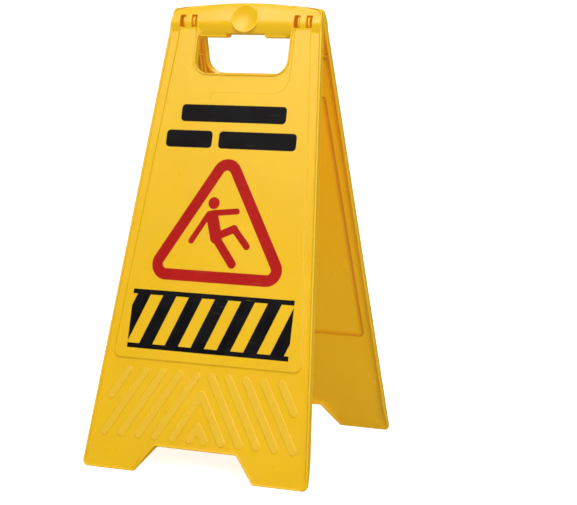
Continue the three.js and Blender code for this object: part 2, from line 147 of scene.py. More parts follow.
# Hollow side: drafts, fillets, and ejector marks at places (u, v) that repeat on the left
WALL_DRAFT = 0.45
WALL_FILLET = 1.2
FILLET_DEPTH = 2.0
HOLLOW_BLEND = 1.0
POCKET_SLOPE = 9.0
POCKET_EDGE = 0.4
RIB_DRAFT = 0.25
TIP_ROUND = 0.35
EJECTORS = ((97, 496), (103, 459), (94.5, 388), (109, 385), (107, 232), (131, 72), (135, 11))
EJECTOR_RADIUS = 4.0
EJECTOR_RISE = 0.4
EJECTOR_STEP = 0.3

# Reach of the curvature measure, thinnest wall, depth that stands for no surface, and the number
# of halvings that find a depth
BEND_REACH = 0.6
THINNEST = 0.2
FAR = 60.0
HALVINGS = 30


# ------------------------------------------------------------------ outlines

def unit(vectors):
    return vectors / np.linalg.norm(vectors, axis=-1, keepdims=True)


def arc(centre, radius, start, end, chord=0.8):
    """Points along an arc, both ends included."""
    count = max(2, math.ceil(abs(end - start) * radius / chord), math.ceil(abs(end - start) / 0.2))
    angles = np.linspace(start, end, count + 1)
    return np.array(centre) + radius * np.column_stack((np.cos(angles), np.sin(angles)))


def rounded(corners, radii, inset=0.0):
    """Anticlockwise outline with a round at each corner, after moving its sides inwards."""
    corners = np.array(corners, float)
    arriving = unit(corners - np.roll(corners, 1, 0))
    leaving = np.roll(arriving, -1, 0)
    turn = arriving[:, 0] * leaving[:, 1] - arriving[:, 1] * leaving[:, 0]
    moved = corners + (leaving - arriving) * (inset / turn)[:, None]
    outline = []
    for corner, back, ahead, bend, radius in zip(moved, -arriving, leaving, turn, radii):
        if radius == 0:
            outline.append(corner[None])
            continue
        radius = max(radius - inset if bend > 0 else radius + inset, 0.25)
        half = math.acos(back @ ahead) / 2
        centre = corner + unit(back + ahead) * radius / math.sin(half)
        first = corner + back * radius / math.tan(half) - centre
        last = corner + ahead * radius / math.tan(half) - centre
        start = math.atan2(first[1], first[0])
        sweep = math.remainder(math.atan2(last[1], last[0]) - start, math.tau)
        outline.append(arc(centre, radius, start, start + sweep))
    return np.concatenate(outline)


def box_outline(left, right, bottom, top, radius=0.0, inset=0.0):
    corners = [(left, bottom), (right, bottom), (right, top), (left, top)]
    return rounded(corners, [radius] * 4, inset)


def capsule(start, end, radius):
    """Bar with round ends between two points."""
    heading = math.atan2(end[1] - start[1], end[0] - start[0])
    quarter = math.pi / 2
    far = arc(end, radius, heading - quarter, heading + quarter)
    near = arc(start, radius, heading + quarter, heading + 3 * quarter)
    return np.concatenate((far, near))


def half_width(v):
    return FOOT_HALF_WIDTH - EDGE_SLOPE * v


def face_half_width(v):
    return half_width(v) - FACE_MARGIN - FACE_MARGIN_GROWTH * (v - FACE_BOTTOM)


def mirrored(points):
    """The given points of the right half, then their mirror image, anticlockwise."""
    return points + [(-u, v) for u, v in reversed(points)]


def edge_outline(inset=0.0):
    """Sides, feet and round top corners of a board, carried up past the arch of the handle."""
    right = [
        (NOTCH_TOP_HALF, NOTCH_HEIGHT),
        (NOTCH_BOTTOM_HALF, 0),
        (FOOT_HALF_WIDTH, 0),
        (half_width(HANDLE_CORNER_HEIGHT), HANDLE_CORNER_HEIGHT),
    ]
    left = [(-u, v) for u, v in reversed(right)]
    radii = [NOTCH_RADIUS, NOTCH_RADIUS, FOOT_RADIUS, HANDLE_CORNER_RADIUS]
    return rounded(right + [(0, CROWN_HEIGHT)] + left, radii + [0] + radii[::-1], inset)


def face_outline(top, inset=0.0):
    low, high = face_half_width(FACE_BOTTOM), face_half_width(top)
    corners = mirrored([(low, FACE_BOTTOM), (high, top)])
    return rounded(corners, [FACE_RADIUS, FACE_TOP_RADIUS, FACE_TOP_RADIUS, FACE_RADIUS], inset)


def recess_outline(inset=0.0):
    corners = mirrored([(RECESS_HALF, RECESS_BOTTOM), (RECESS_HALF, HINGE_HEIGHT + 5)])
    return rounded(corners, [RECESS_RADIUS, 0, 0, RECESS_RADIUS], inset)


def lip_outline(inset=0.0):
    """The hand opening with its sides carried up inside the handle."""
    corners = mirrored([(OPENING_HALF, OPENING_BOTTOM), (OPENING_HALF, HINGE_HEIGHT)])
    return rounded(corners, [OPENING_RADIUS, 0, 0, OPENING_RADIUS], inset)


def hole_outline(inset=0.0):
    """The hand opening, with the finger relief in the underside of the handle."""
    right = [
        (OPENING_HALF, OPENING_BOTTOM),
        (OPENING_HALF, HANDLE_BOTTOM),
        (RELIEF_HALF, HANDLE_BOTTOM),
        (RELIEF_HALF - RELIEF_SLOPE, HANDLE_BOTTOM + RELIEF_HEIGHT),
    ]
    radii = [OPENING_RADIUS, 1.5, 1, 1]
    return rounded(mirrored(right), radii + radii[::-1], inset)


def bar_ends():
    """End points of the chevron's bars. The inner pairs meet, the outer pair is short."""
    ends = []
    for row in BAR_ROWS:
        line = BAR_ZERO_TOP + row * BAR_PITCH
        inner = max(line, 0)
        bottom = LAST_BAR_BOTTOM if row == BAR_ROWS[-1] else BAR_BOTTOM
        outer = line + BAR_SLOPE * (BAR_TOP - bottom)
        heights = [BAR_TOP - (u - line) / BAR_SLOPE for u in (inner, outer)]
        for side in (-1, 1):
            ends.append(((side * inner, heights[0]), (side * outer, heights[1])))
    return ends


def windows(inset=0.0):
    found = []
    for hook in (-HOOK_CENTRE, HOOK_CENTRE):
        for offset in (-WINDOW_OFFSET, WINDOW_OFFSET):
            left = hook + offset - WINDOW_WIDTH / 2
            top = WINDOW_BOTTOM + WINDOW_HEIGHT
            found.append(box_outline(left, left + WINDOW_WIDTH, WINDOW_BOTTOM, top, 0.8, inset))
    return found


def ribs(inset=0.0):
    """Stiffening ribs behind the columns beside the opening."""
    half = RIB_WIDTH / 2
    found = []
    for side in (-1, 1):
        for line in RIB_LINES:
            centre = side * line
            found.append(box_outline(centre - half, centre + half, RIB_BOTTOM, RIB_TOP, 0, inset))
        inner = side * (OPENING_HALF + 1)
        outer = side * (half_width(CROSS_RIB_HEIGHT) - 1)
        low, high = CROSS_RIB_HEIGHT - half, CROSS_RIB_HEIGHT + half
        found.append(box_outline(min(inner, outer), max(inner, outer), low, high, 0, inset))
    return found


# ------------------------------------------------------------------ heights

def depth(points, outline):
    """Distance from each point to a closed outline, positive inside."""
    nearest = np.full(len(points), np.inf)
    inside = np.zeros(len(points), bool)
    for start, end in zip(outline, np.roll(outline, -1, 0)):
        side = end - start
        if not side.any():
            continue
        offset = points - start
        along = np.clip(offset @ side / (side @ side), 0, 1)
        nearest = np.minimum(nearest, ((offset - along[:, None] * side) ** 2).sum(1))
        crossed = (start[1] > points[:, 1]) != (end[1] > points[:, 1])
        if side[1]:
            reached = start[0] + (points[:, 1] - start[1]) * side[0] / side[1]
            inside ^= crossed & (points[:, 0] < reached)
    return np.where(inside, 1, -1) * np.sqrt(nearest)


def capsule_depth(points, start, end, radius):
    side = np.array(end) - np.array(start)
    offset = points - np.array(start)
    along = np.clip(offset @ side / (side @ side), 0, 1)
    return radius - np.linalg.norm(offset - along[:, None] * side, axis=1)


def soft_step(value, low, high):
    share = np.clip((value - low) / (high - low), 0, 1)
    return share * share * (3 - 2 * share)


def soft_max(a, b, blend):
    near = np.maximum(blend - np.abs(a - b), 0) / blend
    return np.maximum(a, b) + near * near * blend / 4


def edge_round(gap, radius):
    """How far a surface falls away near an edge, for a quarter round."""
    share = np.clip(gap / radius, 0, 1)
    return radius * (1 - np.sqrt(1 - (1 - share) ** 2)) + np.maximum(-gap, 0)


def ellipse_depth(t, rise, reach):
    """Depth of an oval that stands upright on the hinge axis, seen in the leaning board's frame."""
    a = (SIN / rise) ** 2 + (COS / reach) ** 2
    b = 2 * t * COS * SIN * (1 / rise**2 - 1 / reach**2)
    c = t**2 * ((COS / rise) ** 2 + (SIN / reach) ** 2) - 1
    root = b * b - 4 * a * c
    return np.where(root > 0, (-b + np.sqrt(np.maximum(root, 0))) / (2 * a), -FAR)


def arch_drop(u):
    return HANDLE_ARCH_RADIUS - np.sqrt(HANDLE_ARCH_RADIUS**2 - u * u)


def taper_depth(u, t, shrink):
    """Depth of the handle's tapering upper part, found by halving the range of heights."""
    rise, reach = HANDLE_RISE - shrink, HANDLE_REACH - shrink
    squash = 1 - arch_drop(u) / rise
    low, high = -np.ones_like(t), np.ones_like(t)
    for _ in range(HALVINGS):
        share = (low + high) / 2
        out = reach * np.maximum(1 - share, 0) ** HANDLE_TAPER
        above = share * rise * squash * COS - out * SIN > t
        low, high = np.where(above, low, share), np.where(above, share, high)
    found = share * rise * squash * SIN + out * COS
    return np.where(share < 0.9999, found, -FAR)


def oval_depth(u, t, shrink=0.0):
    """The handle's wall: half an oval below the axis, and a taper that follows the arch above."""
    lower = ellipse_depth(t, HANDLE_RISE - shrink, HANDLE_REACH - shrink)
    return -soft_max(-lower, -taper_depth(u, t, shrink), CREASE_BLEND)


def arch_height(u):
    """Top edge of the handle, where its outer wall meets the stop face."""
    return HINGE_HEIGHT + (HANDLE_RISE - arch_drop(u)) * COS - 0.1


def outer_surface(points, pierced):
    """Depth of the printed side at each point."""
    u, v = points.T
    edge = depth(points, edge_outline())
    rim = SKIN_OUTER + (RIM_DEPTH - SKIN_OUTER) * (1 - soft_step(edge, *RIM_STEP))
    face = soft_step(depth(points, face_outline(HINGE_HEIGHT)), -FACE_STEP, FACE_STEP)
    recess = soft_step(depth(points, recess_outline()), -RECESS_STEP, RECESS_STEP)
    raised = SKIN_OUTER + (FACE_DEPTH - SKIN_OUTER) * face - (FACE_DEPTH - RECESS_FLOOR) * recess
    surface = np.maximum(rim, raised)

    bead = (-depth(points, lip_outline()) - BEAD_CENTRE) / BEAD_HALF
    crest = BEAD_BASE + (LIP_DEPTH - BEAD_BASE) * np.sqrt(np.maximum(1 - bead * bead, 0))
    surface = soft_max(surface, np.where(np.abs(bead) < 1, crest, 0), LIP_BLEND)

    bars = np.max([capsule_depth(points, *ends, BAR_RADIUS) for ends in bar_ends()], axis=0)
    surface += BAR_RISE * soft_step(bars, -BAR_STEP, BAR_STEP)

    grip = soft_step(v, HANDLE_BOTTOM - GRIP_STEP, HANDLE_BOTTOM)
    surface -= GRIP_DROP * grip * soft_step(OPENING_HALF - np.abs(u), 0, GRIP_SIDE)
    surface = soft_max(surface, oval_depth(u, v - HINGE_HEIGHT), HANDLE_BLEND)
    from_badge = np.hypot(u, v - BADGE_HEIGHT)
    dish = DISH_DEPTH * np.maximum(1 - (from_badge / DISH_RADIUS) ** 2, 0)
    share = soft_step(BADGE_RADIUS - from_badge, -BADGE_STEP, BADGE_STEP)
    surface += (BADGE_DEPTH - dish - surface) * share

    surface -= edge_round(edge, EDGE_ROUND)
    surface -= grip * edge_round(-depth(points, hole_outline()), GRIP_ROUND)
    if pierced:
        for window in windows():
            surface -= edge_round(-depth(points, window), WINDOW_ROUND)
    return surface


def pocket_slope(points):
    """Share of the way across the slope round the pocket, and of the painted shade that lies on it.
    """
    inside = depth(points, face_outline(POCKET_TOP, FLANGE))
    sunk = np.clip(inside / POCKET_SLOPE, 0, 1)
    return sunk, soft_step(inside, -POCKET_EDGE, POCKET_EDGE) * (1 - sunk) ** 2


def inner_surface(points):
    """Depth of the hollow side at each point."""
    u, v = points.T
    t = v - HINGE_HEIGHT
    parting = np.maximum(CLEARANCE, t * TAN + CLEARANCE / COS)
    parting = np.maximum(parting, FOOT_BEVEL_DEPTH * (1 - v / FOOT_BEVEL_HEIGHT))

    sunk, _ = pocket_slope(points)
    floor = SKIN_INNER + (POCKET_DEPTH - SKIN_INNER) * (1 - (1 - sunk) ** 2)
    for u0, v0 in EJECTORS:
        ring = np.hypot(np.abs(u) - u0, v - v0) - EJECTOR_RADIUS
        floor -= EJECTOR_RISE * (1 - soft_step(ring, -EJECTOR_STEP, EJECTOR_STEP))
    floor = np.where(t < 0, floor, -FAR)
    floor = soft_max(floor, oval_depth(u, t, HANDLE_WALL), HOLLOW_BLEND)
    badge = soft_step(BADGE_RADIUS - np.hypot(u, v - BADGE_HEIGHT), -BADGE_STEP, BADGE_STEP)
    floor = np.where(badge > 0, floor + np.minimum(BADGE_BACK - floor, 0) * badge, floor)
    floor = np.maximum(floor, parting)

    edge = depth(points, edge_outline())
    hole = -depth(points, hole_outline())
    gap = np.minimum(edge, hole)
    wall = np.clip((gap - FLANGE) / WALL_DRAFT, 0, 1)
    fillet = edge_round(gap - FLANGE - WALL_DRAFT, WALL_FILLET)
    hollow = floor - fillet * (floor > parting + FILLET_DEPTH)
    surface = parting + np.maximum(hollow - parting, 0) * wall
    in_rib = np.max([depth(points, rib) for rib in ribs()], axis=0)
    share = np.clip(1 + in_rib / RIB_DRAFT, 0, 1) * (surface > RIB_TIP)
    surface += (RIB_TIP - surface) * share
    return surface + edge_round(gap, TIP_ROUND)


# ------------------------------------------------------------------ board mesh

# Lines of the mesh: how far inside an outline they run, or outside where below zero. Those round
# the badge count in half widths of its soft step, and those in its dish are radii.
EDGE_INSETS = (0, 0.1, 0.32, 0.7, 1.2, 2.2, 2.42, 2.65, 2.9, 3.2, 3.6)
HOLE_INSETS = (0, -0.1, -0.35, -0.7, -1.1, -1.5, -1.85, -2.2, -2.42, -2.65, -3.0, -3.6)
LIP_INSETS = (-2.42, -1.85, -1.1, -0.35)
WINDOW_INSETS = (0, -0.12, -0.35)
POCKET_INSETS = (-POCKET_EDGE, 0, POCKET_EDGE, 1.5, 3, 5, 7, POCKET_SLOPE)
BADGE_SHARES = (-1, -0.5, 0, 0.5, 1)
DISH_CIRCLES = (2.5, 5.5, 8.5, 11.5, 14, 16, DISH_RADIUS)

# Lines along the handle: half length, points, steps of a full taper, and steepest angle below
HANDLE_SPAN = 106.0
HANDLE_POINTS = 54
TAPER_STEPS = 24
LOWER_ANGLE = 55
SHARP = math.radians(35)


def densified(outline, step=8.0):
    """The same closed outline with long sides divided."""
    pieces = []
    for start, end in zip(outline, np.roll(outline, -1, 0)):
        count = max(1, round(np.linalg.norm(end - start) / step))
        pieces.append(start + np.arange(count)[:, None] / count * (end - start))
    return np.concatenate(pieces)


def circle(centre, radius):
    return arc(centre, radius, 0, math.tau)[:-1]


def step_lines(half):
    """Distances from the middle of a soft step, with one on the flat at either side of it."""
    return (-half - BEND_REACH, -half, -half / 2, 0, half / 2, half, half + BEND_REACH)


def board_loops(pierced):
    """Closed lines that the board's mesh follows: every feature's outline and its soft steps."""
    loops = []
    for inset in EDGE_INSETS:
        loops.append(edge_outline(inset))
    for inset in HOLE_INSETS:
        loops.append(hole_outline(inset))
    for inset in LIP_INSETS:
        loops.append(lip_outline(inset))
    for radius in DISH_CIRCLES:
        loops.append(circle((0, BADGE_HEIGHT), radius))
    for share in BADGE_SHARES:
        loops.append(circle((0, BADGE_HEIGHT), BADGE_RADIUS + share * BADGE_STEP))
    for inset in step_lines(FACE_STEP):
        loops.append(face_outline(HINGE_HEIGHT, inset))
    for inset in step_lines(RECESS_STEP):
        loops.append(recess_outline(inset))
    for inset in POCKET_INSETS:
        loops.append(face_outline(POCKET_TOP, FLANGE + inset))
    for inset in step_lines(BAR_STEP):
        for start, end in bar_ends():
            loops.append(capsule(start, end, BAR_RADIUS - inset))
    for inset in (0, -RIB_DRAFT):
        loops.extend(ribs(inset))
    for side in (-1, 1):
        for u, v in EJECTORS:
            for inset in step_lines(EJECTOR_STEP):
                loops.append(circle((side * u, v), EJECTOR_RADIUS + inset))
    if pierced:
        for inset in WINDOW_INSETS:
            loops.extend(windows(inset))
    return [densified(loop) for loop in loops]


def handle_line(across, up, out):
    """Plan of a line on the handle's wall, at a height above the axis and a distance from it."""
    height = HINGE_HEIGHT + up * COS - out * SIN
    return np.column_stack((across, np.broadcast_to(height, across.shape)))


def board_lines():
    """Open lines along the handle, closer together where its wall curves faster."""
    across = np.linspace(-HANDLE_SPAN, HANDLE_SPAN, HANDLE_POINTS)
    lines = [np.column_stack((across, arch_height(across)))]
    for shrink, turn in ((0, 4), (HANDLE_WALL, 8)):
        rise, reach = HANDLE_RISE - shrink, HANDLE_REACH - shrink
        for share in np.arange(1, TAPER_STEPS, turn / 4) / TAPER_STEPS:
            up = (rise - arch_drop(across)) * (1 - share**2)
            lines.append(handle_line(across, up, reach * share ** (2 * HANDLE_TAPER)))
        for angle in np.radians(np.arange(0, LOWER_ANGLE, turn)):
            lines.append(handle_line(across, -rise * math.sin(angle), reach * math.cos(angle)))
    return lines


def triangulated(loops, lines, inside):
    """Plane vertices and triangles that follow the loops and lines, kept where inside says so."""
    vertices, edges = [], []
    for path in loops + lines:
        first = len(vertices)
        vertices.extend(Vector(point) for point in path)
        edges.extend((first + i, first + i + 1) for i in range(len(path) - 1))
        if any(path is loop for loop in loops):
            edges.append((first + len(path) - 1, first))
    made = geometry.delaunay_2d_cdt(vertices, edges, [], 0, 1e-4, False)
    points = np.array([tuple(point) for point in made[0]])
    triangles = np.array(made[2])
    triangles = triangles[inside(points[triangles].mean(1))]
    used, compact = np.unique(triangles, return_inverse=True)
    points, triangles = points[used], compact.reshape(-1, 3)
    a, b, c = points[triangles].transpose(1, 0, 2)
    turn = (b - a)[:, 0] * (c - a)[:, 1] - (b - a)[:, 1] * (c - a)[:, 0]
    triangles[turn < 0] = triangles[turn < 0][:, ::-1]
    return points, triangles


def rim_edges(triangles):
    """Edges with a triangle on one side only, in the direction that triangle runs."""
    edges = np.concatenate([triangles[:, [0, 1]], triangles[:, [1, 2]], triangles[:, [2, 0]]])
    names = {tuple(edge) for edge in edges}
    return np.array([edge for edge in edges if (edge[1], edge[0]) not in names])


def slopes(surface, points, reach=0.02):
    """How a surface rises along u and along v."""
    rises = []
    for shift in ((reach, 0), (0, reach)):
        rises.append((surface(points + shift) - surface(points - shift)) / (2 * reach))
    return np.column_stack(rises)


def wall_normals(points, walls):
    """A normal for each corner of the wall faces, smoothed where the wall turns gently."""
    a, b, c, d = points[walls].transpose(1, 0, 2)
    faces = unit(np.cross(c - a, d - b))
    starts = {wall[0]: i for i, wall in enumerate(walls)}
    ends = {wall[1]: i for i, wall in enumerate(walls)}
    normals = []
    for i, wall in enumerate(walls):
        mates = (starts.get(wall[1], i), ends.get(wall[0], i))
        after, before = [
            unit(faces[i] + faces[j]) if faces[i] @ faces[j] > 0.8 else faces[i] for j in mates
        ]
        normals.extend((before, after, after, before))
    return np.array(normals)


def floor_cut(points):
    """Trims the foot edges level with the floor, which the leaning board meets at an angle."""
    lowest = (RIM_DEPTH - points[:, 2]) * TAN
    near = points[:, 1] < 2
    points[near, 1] = np.maximum(points[near, 1], lowest[near])
    return points


def in_board(points, pierced):
    kept = (depth(points, edge_outline()) > 0) & (depth(points, hole_outline()) < 0)
    kept &= points[:, 1] < arch_height(points[:, 0])
    if pierced:
        for window in windows():
            kept &= depth(points, window) < 0
    return kept


def object_from(name, points, faces, leg, normals=None):
    """A mesh object from board coordinates in millimetres, standing on a leg of the sign."""
    mesh = bpy.data.meshes.new(name)
    placed = np.column_stack((points[:, 0], points[:, 1] - HINGE_HEIGHT, points[:, 2])) * MM
    mesh.from_pydata(placed.tolist(), [], faces)
    mesh.polygons.foreach_set("use_smooth", [True] * len(faces))
    if normals is None:
        mesh.set_sharp_from_angle(angle=SHARP)
    else:
        mesh.normals_split_custom_set(normals.tolist())
    piece = bpy.data.objects.new(name, mesh)
    bpy.context.scene.collection.objects.link(piece)
    piece.matrix_world = leg
    return piece


def closed_sheet(flat, triangles, high, low):
    """Points and faces of a sheet with two skins over one plane mesh, and the walls between."""
    count = len(flat)
    points = np.concatenate((np.column_stack((flat, high)), np.column_stack((flat, low))))
    rim = rim_edges(triangles)
    walls = np.column_stack((rim[:, 1], rim[:, 0], rim[:, 0] + count, rim[:, 1] + count))
    faces = triangles.tolist() + (triangles[:, ::-1] + count).tolist() + walls.tolist()
    return points, faces, walls


def bend(surface, points, reach=BEND_REACH):
    """Curvature of a surface: above zero in a hollow corner, below zero along an edge."""
    around = sum(
        surface(points + shift)
        for shift in np.array(((reach, 0), (-reach, 0), (0, reach), (0, -reach)))
    )
    return around / 4 - surface(points)


def set_attribute(piece, name, values):
    attribute = piece.data.attributes.new(name, "FLOAT", "POINT")
    attribute.data.foreach_set("value", values.astype(np.float32))


def board(name, pierced, leg):
    """A whole moulding: printed side, hollow side and the edges that join them."""
    def outer(points):
        return outer_surface(points, pierced)

    def inside(points):
        return in_board(points, pierced)

    flat, triangles = triangulated(board_loops(pierced), board_lines(), inside)
    low = inner_surface(flat)
    high = np.maximum(outer(flat), low + THINNEST)
    points, faces, walls = closed_sheet(flat, triangles, high, low)
    points = floor_cut(points)
    up = unit(np.column_stack((-slopes(outer, flat), np.ones(len(flat)))))
    down = unit(np.column_stack((slopes(inner_surface, flat), -np.ones(len(flat)))))
    normals = np.concatenate((
        up[triangles.ravel()],
        down[triangles[:, ::-1].ravel()],
        wall_normals(points, walls),
    ))
    piece = object_from(name, points, faces, leg, normals)
    set_attribute(piece, "bend", np.concatenate((bend(outer, flat), -bend(inner_surface, flat))))
    none = np.zeros(len(flat))
    set_attribute(piece, "hollow", np.concatenate((none, none + 1)))
    _, shade = pocket_slope(flat)
    set_attribute(piece, "shade", np.concatenate((none, shade)))
    bars = np.max([capsule_depth(flat, *ends, BAR_RADIUS) for ends in bar_ends()], axis=0)
    tread = soft_step(bars, -BAR_STEP / 2, BAR_STEP)
    set_attribute(piece, "tread", np.concatenate((tread, none)))
    return piece


# ------------------------------------------------------------------ hinge pieces

PIN_RADIUS = 3.0
PIN_BORE = 3.3
PIN_LENGTH = 15.6
HOOK_WIDTH = 7.4
HOOK_RADIUS = 6.3
HOOK_MOUTH = 4.8
CHEEK_OFFSET = 6.75
CHEEK_WIDTH = 2.4
CHEEK_RADIUS = 9.3
CHEEK_WEB = 6.0
WEB_DEPTH = 11.3
LUG_STEPS = 40
LUG_BEVEL = 0.35
PIN_EDGE = 0.7
PIN_SIDES = 32


def solid_object(name, points, faces, leg):
    """An object with every sharp edge rounded by a small bevel."""
    mesh = bmesh.new()
    corners = [mesh.verts.new(point) for point in points]
    for face in faces:
        mesh.faces.new([corners[i] for i in face])
    bmesh.ops.recalc_face_normals(mesh, faces=mesh.faces)
    sharp = [edge for edge in mesh.edges if edge.calc_face_angle() > SHARP]
    bmesh.ops.bevel(mesh, geom=sharp, offset=LUG_BEVEL, segments=2, profile=0.5, affect="EDGES")
    mesh.verts.index_update()
    placed = np.array([tuple(vertex.co) for vertex in mesh.verts])
    kept = [[vertex.index for vertex in face.verts] for face in mesh.faces]
    mesh.free()
    piece = object_from(name, placed, kept, leg)
    set_attribute(piece, "hollow", np.ones(len(placed)))
    return piece


def lug(name, centre, width, radius, web, mouth, leg):
    """A plate from the handle wall to an eye round the hinge axis, with an optional mouth."""
    def opening(reach):
        return math.asin(mouth / 2 / reach)

    rows = []
    for step in range(LUG_STEPS + 1):
        share = step / LUG_STEPS
        pair = []
        for reach in (PIN_BORE, radius):
            start = -math.pi / 2 + opening(reach)
            angle = start + share * (math.tau - 2 * opening(reach))
            if reach == radius and math.sin(angle) > 0:
                side = web / max(abs(math.cos(angle)), 1e-6)
                reach = max(radius, min(side, WEB_DEPTH / math.sin(angle)))
            pair.append((reach * math.cos(angle), reach * math.sin(angle)))
        rows.append(pair)
    closed = mouth == 0
    if closed:
        rows.pop()
    points = [
        (centre + side * width / 2, HINGE_HEIGHT + t, w)
        for side in (-1, 1) for pair in rows for t, w in pair
    ]
    count = len(rows)
    faces = []
    for i in range(count if closed else count - 1):
        a, b = 2 * i, 2 * ((i + 1) % count)
        c, d = a + 2 * count, b + 2 * count
        faces += [(a, b, b + 1, a + 1), (c, c + 1, d + 1, d)]
        faces += [(a, c, d, b), (a + 1, b + 1, d + 1, c + 1)]
    if not closed:
        for a in (0, 2 * count - 2):
            faces.append((a, a + 1, a + 1 + 2 * count, a + 2 * count))
    return solid_object(name, points, faces, leg)


def pin(name, centre, leg):
    """A round pin with domed ends, along the hinge axis."""
    end, rim = PIN_LENGTH / 2 - PIN_EDGE, PIN_RADIUS - PIN_EDGE
    profile = []
    for angle in np.radians((8, 30, 60, 90)):
        profile.append((end + PIN_EDGE * math.cos(angle), rim + PIN_EDGE * math.sin(angle)))
    profile += [(-u, radius) for u, radius in reversed(profile)]
    points = []
    for u, radius in profile:
        for step in range(PIN_SIDES):
            angle = math.tau * step / PIN_SIDES
            t, w = radius * math.cos(angle), radius * math.sin(angle)
            points.append((centre + u, HINGE_HEIGHT + t, w))
    faces = [tuple(range(PIN_SIDES))[::-1], tuple(range(len(points) - PIN_SIDES, len(points)))]
    for ring in range(len(profile) - 1):
        for step in range(PIN_SIDES):
            a = ring * PIN_SIDES + step
            b = ring * PIN_SIDES + (step + 1) % PIN_SIDES
            faces.append((a, b, b + PIN_SIDES, a + PIN_SIDES))
    return object_from(name, np.array(points), faces, leg)


# ------------------------------------------------------------------ printed marks

INK_TOP = FACE_DEPTH + 0.06
INK_BOTTOM = FACE_DEPTH - 0.06

# Left end, right end and middle height of each plain bar that stands in for words
WORD_BARS = {"top": (-72, 70, 454), "left": (-89, -26, 420.5), "right": (-17, 87, 420.5)}
WORD_BAR_HEIGHT = 22.0
WORD_BAR_RADIUS = 5.0
TRIANGLE_CORNER_HALF = 67.2
TRIANGLE_BASE = 260.0
TRIANGLE_OUTER_RADIUS = 20.0
TRIANGLE_INNER_RADIUS = 5.5
BAND_HALF_WIDTH = 108.0
BAND_BOTTOM = 152.0
BAND_TOP = 226.0
BAND_RAIL = 6.0
STRIPE_COUNT = 7
STRIPE_WIDTH = 18.0
STRIPE_LEAN = 30.0

# Head as centre and radius, limbs as two ends and a radius
HEAD = ((-13, 340), 7.6)
LIMBS = (
    ((-13, 323), (-5, 297), 8),
    ((-18, 326), (-38, 291), 3.8),
    ((-12, 327.5), (19, 331), 3.8),
    ((-4, 295), (20, 265), 5.6),
    ((-3, 299), (18, 309), 5),
    ((18, 309), (37, 288), 4.4),
)


def mark(name, loops, inside, leg):
    """A thin film of ink on the sign face."""
    flat, triangles = triangulated([densified(loop) for loop in loops], [], inside)
    none = np.zeros(len(flat))
    points, faces, _ = closed_sheet(flat, triangles, none + INK_TOP, none + INK_BOTTOM)
    return object_from(name, points, faces, leg)


def inside_any(loops):
    return lambda points: np.max([depth(points, loop) for loop in loops], axis=0) > 0


def word_bar(name, left, right, middle, leg):
    half = WORD_BAR_HEIGHT / 2
    loop = box_outline(left, right, middle - half, middle + half, WORD_BAR_RADIUS)
    return mark(name, [loop], inside_any([loop]), leg)


def warning_triangle(name, leg):
    apex = TRIANGLE_BASE + TRIANGLE_CORNER_HALF * math.sqrt(3)
    left, right = (-TRIANGLE_CORNER_HALF, TRIANGLE_BASE), (TRIANGLE_CORNER_HALF, TRIANGLE_BASE)
    third = math.tau / 3

    def ring(radius):
        starts = [-math.pi / 2 + corner * third for corner in range(3)]
        centres = (right, (0, apex), left)
        corners = [arc(at, radius, start, start + third) for at, start in zip(centres, starts)]
        return np.concatenate(corners)

    def inside(points):
        return (depth(points, outer) > 0) & (depth(points, inner) < 0)

    outer, inner = ring(TRIANGLE_OUTER_RADIUS), ring(TRIANGLE_INNER_RADIUS)
    return mark(name, [outer, inner], inside, leg)


def figure_head(name, leg):
    loop = circle(*HEAD)
    return mark(name, [loop], inside_any([loop]), leg)


def figure_body(name, leg):
    loops = [capsule(*limb) for limb in LIMBS]
    return mark(name, loops, inside_any(loops), leg)


def hazard_band(name, leg):
    """Leaning stripes between two rails."""
    left, right = -BAND_HALF_WIDTH, BAND_HALF_WIDTH
    frame_loop = box_outline(left, right, BAND_BOTTOM, BAND_TOP)
    rails = [
        box_outline(left, right, BAND_BOTTOM, BAND_BOTTOM + BAND_RAIL),
        box_outline(left, right, BAND_TOP - BAND_RAIL, BAND_TOP),
    ]
    pitch = (2 * BAND_HALF_WIDTH + STRIPE_LEAN) / STRIPE_COUNT
    stripes = []
    for index in range(STRIPE_COUNT):
        start = left - STRIPE_LEAN + (pitch - STRIPE_WIDTH) / 2 + pitch * index
        corners = [(start, BAND_BOTTOM), (start + STRIPE_WIDTH, BAND_BOTTOM)]
        corners += [(u + STRIPE_LEAN, BAND_TOP) for u, _ in reversed(corners)]
        stripes.append(np.array(corners, float))

    def inside(points):
        striped = inside_any(stripes)(points) & (depth(points, frame_loop) > 0)
        return striped | inside_any(rails)(points)

    return mark(name, [frame_loop] + rails + stripes, inside, leg)


# ------------------------------------------------------------------ materials

def node(tree, kind, inputs=None, output=0, **settings):
    """A shader node with its settings and inputs, given as values or as other nodes' outputs."""
    made = tree.nodes.new("ShaderNode" + kind)
    for key, value in settings.items():
        setattr(made, key, value)
    for key, value in (inputs or {}).items():
        if isinstance(value, bpy.types.NodeSocket):
            tree.links.new(value, made.inputs[key])
        else:
            made.inputs[key].default_value = value
    return made.outputs[output]


def new_material(name):
    material = bpy.data.materials.new(name)
    material.use_nodes = True
    tree = material.node_tree
    tree.nodes.clear()
    return material, tree


def finished(tree, shader):
    output = tree.nodes.new("ShaderNodeOutputMaterial")
    tree.links.new(shader, output.inputs["Surface"])


def measure(tree, name):
    """A number stored on the points of the piece."""
    return node(tree, "Attribute", output="Fac", attribute_name=name)


def noise(tree, place, scale, detail=2.0, roughness=0.5):
    inputs = {"Vector": place, "Scale": scale, "Detail": detail, "Roughness": roughness}
    return node(tree, "TexNoise", inputs)


def ramp(tree, value, low, high, to_low=0.0, to_high=1.0):
    """A value remapped between limits, eased at both ends."""
    inputs = {0: value, 1: low, 2: high, 3: to_low, 4: to_high}
    return node(tree, "MapRange", inputs, interpolation_type="SMOOTHSTEP")


